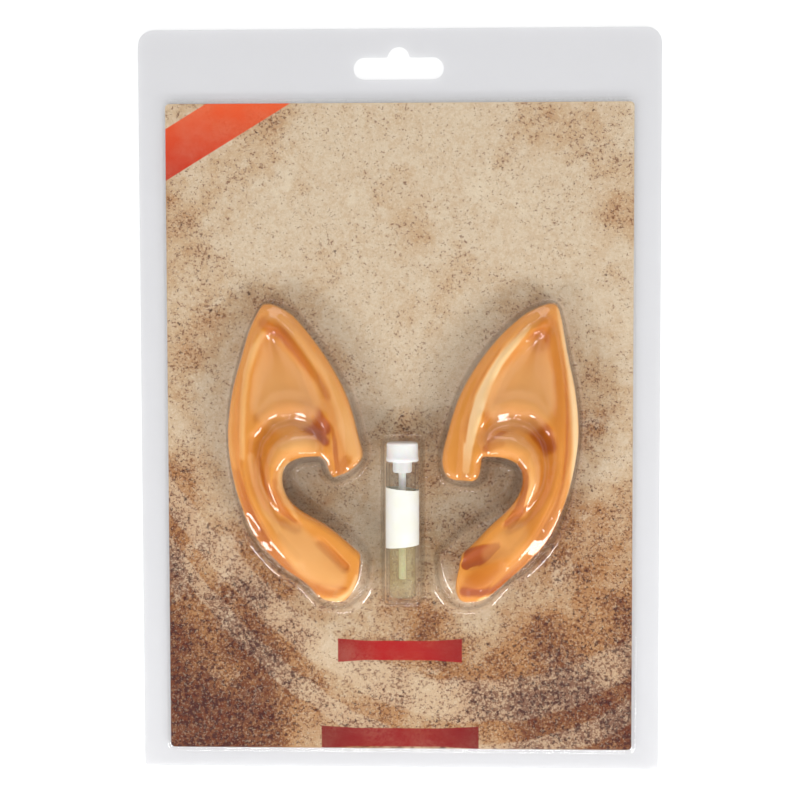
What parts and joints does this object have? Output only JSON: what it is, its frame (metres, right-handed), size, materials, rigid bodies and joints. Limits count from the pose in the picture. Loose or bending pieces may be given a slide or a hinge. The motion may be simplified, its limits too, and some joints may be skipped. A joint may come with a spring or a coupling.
{
  "type": "pair of elf ear tips on a blister card",
  "caption": "Pair of hollow latex elf ear tips for costume wear, with a vial of skin glue, sealed under a formed clear blister on a plain printed card with a hanging slot.",
  "frame": {"origin": "centre of the pack's outline, on the surface that it lies on", "axes": "+X across the pack, +Y up the card towards the hanging slot, +Z out of the card's front, up from the surface"},
  "size_m": [0.185, 0.264, 0.0195],
  "materials": {
    "clear_film": "clear, glossy, thermoformed",
    "printed_card": "satin print on board",
    "latex": "satin skin-coloured latex",
    "vial_clear": "clear, polished",
    "white_plastic": "satin moulded",
    "glue": "clear pale liquid",
    "label_paper": "matt bare paper"
  },
  "bodies": {
    "root": {"back_sheet": "clear_film", "card": "printed_card", "front_blister": "clear_film", "ear_left": "latex", "ear_right": "latex", "vial_glass": "vial_clear", "vial_cap": "white_plastic", "vial_glue": "glue", "vial_label": "label_paper"}
  },
  "joints": []
}
